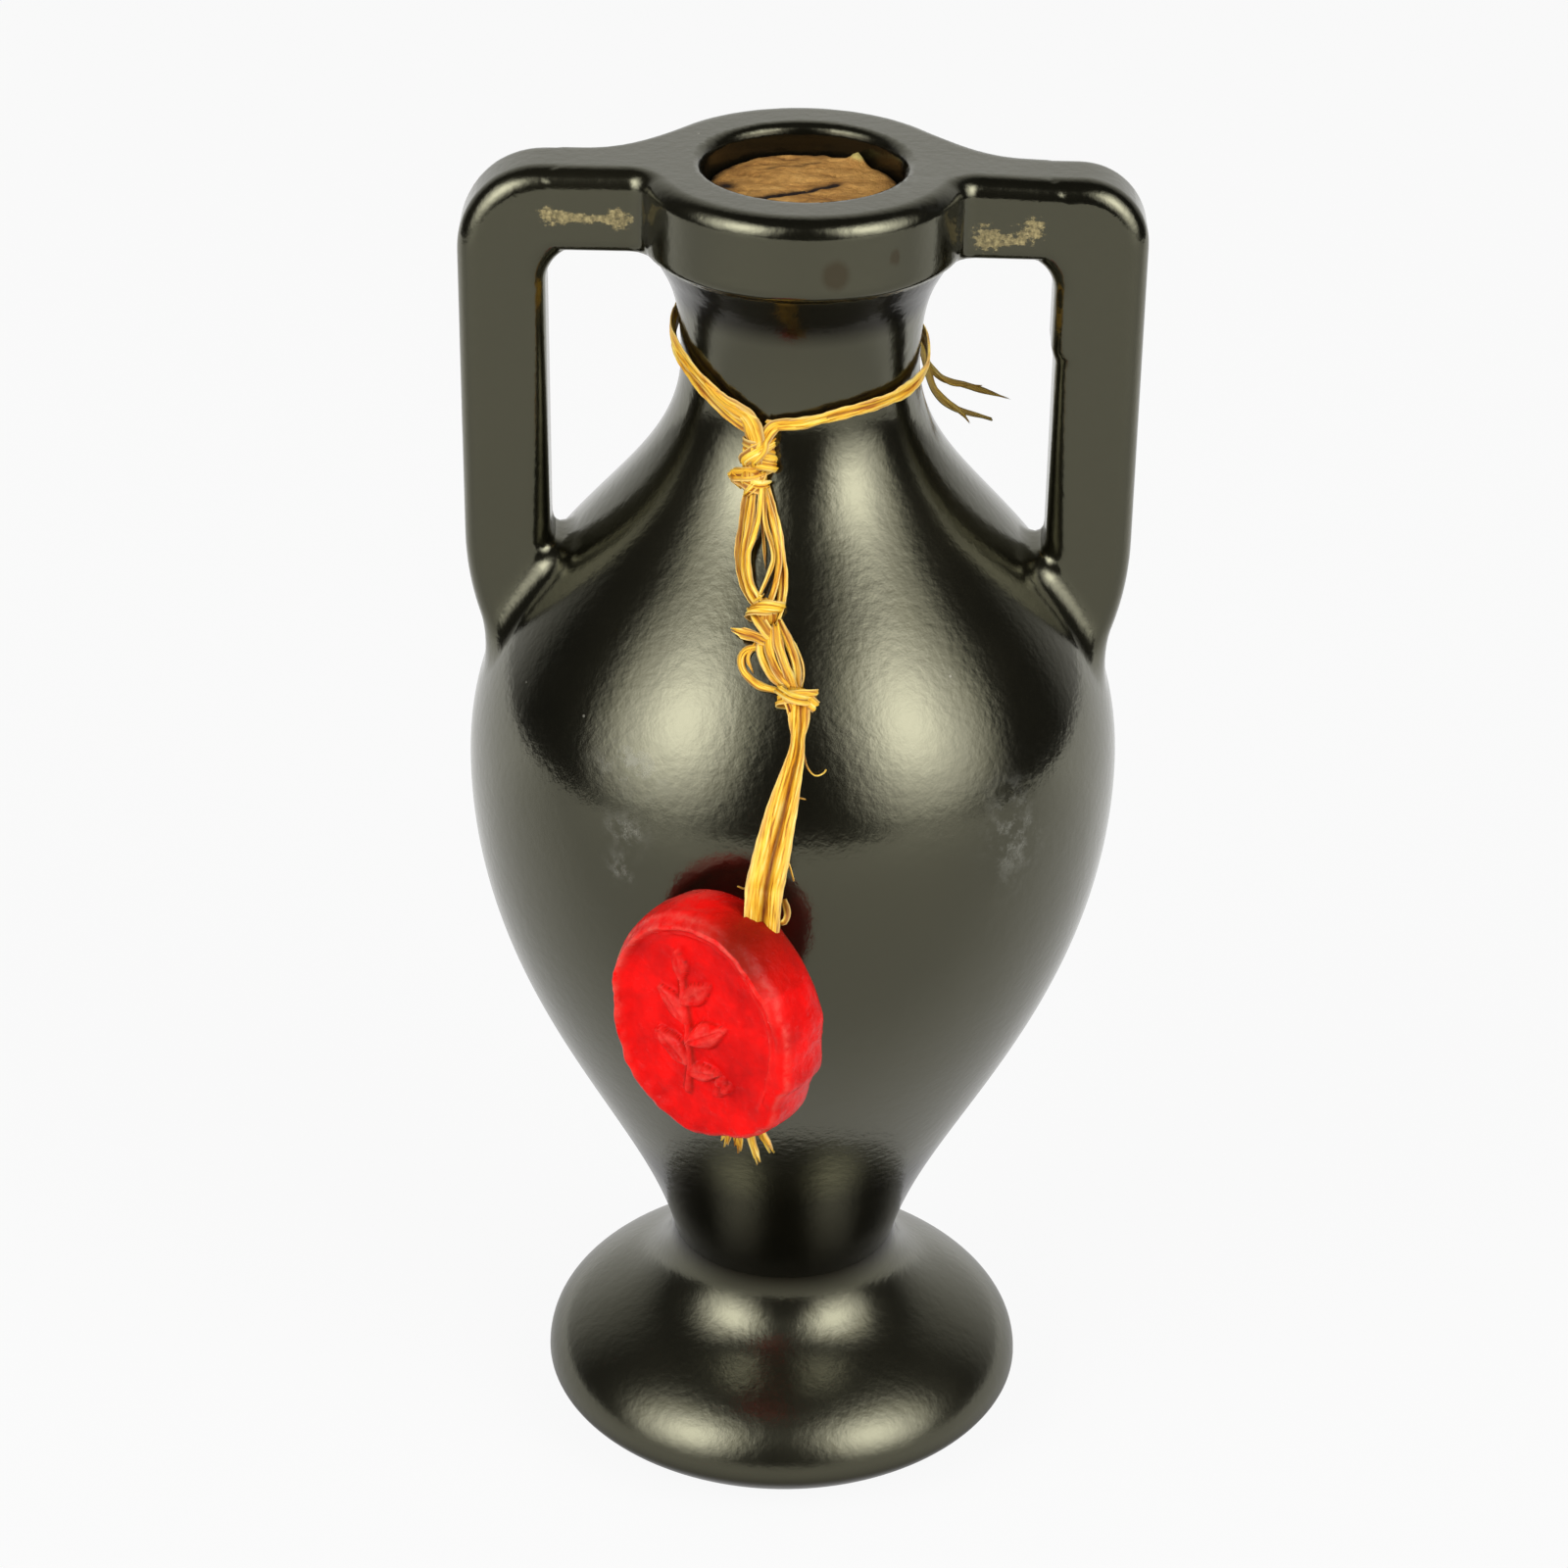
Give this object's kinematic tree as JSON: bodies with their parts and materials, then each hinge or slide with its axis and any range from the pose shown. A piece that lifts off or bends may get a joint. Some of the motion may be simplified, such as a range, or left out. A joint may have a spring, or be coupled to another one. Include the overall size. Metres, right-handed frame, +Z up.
{
  "type": "bud vase",
  "caption": "Small black-glazed amphora bud vase with square-shouldered handles, a tapered cork in its mouth and a red wax seal hung round the neck on a knotted raffia tie.",
  "frame": {"origin": "centre of the foot on the surface it stands on", "axes": "+Z up along the body's axis, front towards -Y, handles along X"},
  "size_m": [0.0628, 0.0753, 0.135],
  "materials": {
    "glaze": "satin black glaze, faintly mottled",
    "cork": "rough cut cork",
    "raffia": "dry straw-coloured fibre",
    "wax": "satin red sealing wax"
  },
  "bodies": {
    "vase": {"vessel_body": "glaze", "foot": "glaze", "handle_left": "glaze", "handle_right": "glaze"},
    "stopper": {"cork": "cork"},
    "tie": {"neck_loop": "raffia", "tail_long": "raffia", "tail_short": "raffia", "neck_knot": "raffia"},
    "pendant": {"strand_left": "raffia", "strand_right": "raffia", "cross_wrap": "raffia", "wrap_stub": "raffia", "braid_left": "raffia", "braid_right": "raffia", "side_loop": "raffia", "lower_knot": "raffia", "knot_stub": "raffia"},
    "hanging_seal": {"fan_band": "raffia", "wax_seal": "wax", "fringe_1": "raffia", "fringe_2": "raffia", "fringe_3": "raffia", "fringe_4": "raffia"}
  },
  "joints": [
    {"name": "cork_pull", "type": "slide", "parent": "vase", "child": "stopper", "axis": [0, 0, 1], "range_m": [0, 0.045]},
    {"name": "tie_turn", "type": "hinge", "parent": "vase", "child": "tie", "pos_m": [0, 0, 0.1166], "axis": [0, 0, 1], "range_deg": [-60, 60]},
    {"name": "pendant_swing", "type": "hinge", "parent": "tie", "child": "pendant", "pos_m": [-0.0042, -0.0136, 0.1099], "axis": [-1, 0, 0], "range_deg": [0, 60]},
    {"name": "seal_swing", "type": "hinge", "parent": "pendant", "child": "hanging_seal", "pos_m": [0.0001, -0.02598, 0.0945], "axis": [-1, 0, 0], "range_deg": [0, 50]}
  ]
}
